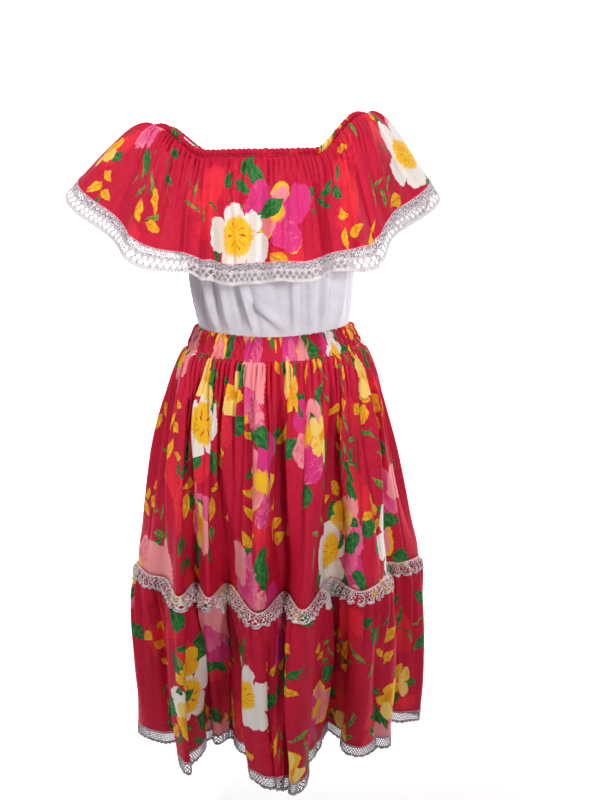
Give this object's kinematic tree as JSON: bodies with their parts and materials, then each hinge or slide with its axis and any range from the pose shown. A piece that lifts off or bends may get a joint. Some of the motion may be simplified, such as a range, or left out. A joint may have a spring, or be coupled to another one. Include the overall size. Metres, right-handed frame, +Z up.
{
  "type": "traditional dress",
  "caption": "Traditional two-piece dress filled out as worn: off-the-shoulder blouse with a lace-edged ruffle, and a gathered tiered skirt trimmed with lace.",
  "frame": {"origin": "middle of the waist, level with the top of the skirt's waistband", "axes": "+Z up along the body, front toward -Y, +X to the right when seen from the front"},
  "size_m": [0.6576, 0.4953, 1.1649],
  "materials": {
    "printed_cotton": "light plain-weave cotton, crimson with a pink, yellow, white and green flower print",
    "ruffle_lace": "off-white cotton lace with rows of open diamonds",
    "skirt_lace": "off-white fine net lace with a scalloped edge",
    "white_cotton": "plain white cotton lawn"
  },
  "bodies": {
    "root": {"neckline_casing": "printed_cotton", "ruffle_front": "printed_cotton", "ruffle_back": "printed_cotton", "ruffle_lace_front": "ruffle_lace", "ruffle_lace_back": "ruffle_lace", "bodice_front": "white_cotton", "bodice_back": "white_cotton", "skirt_waistband": "printed_cotton", "skirt_upper_front": "printed_cotton", "skirt_upper_back": "printed_cotton", "tier_lace_front": "skirt_lace", "tier_lace_back": "skirt_lace", "skirt_lower_front": "printed_cotton", "skirt_lower_back": "printed_cotton", "hem_lace_front": "skirt_lace", "hem_lace_back": "skirt_lace"}
  },
  "joints": []
}
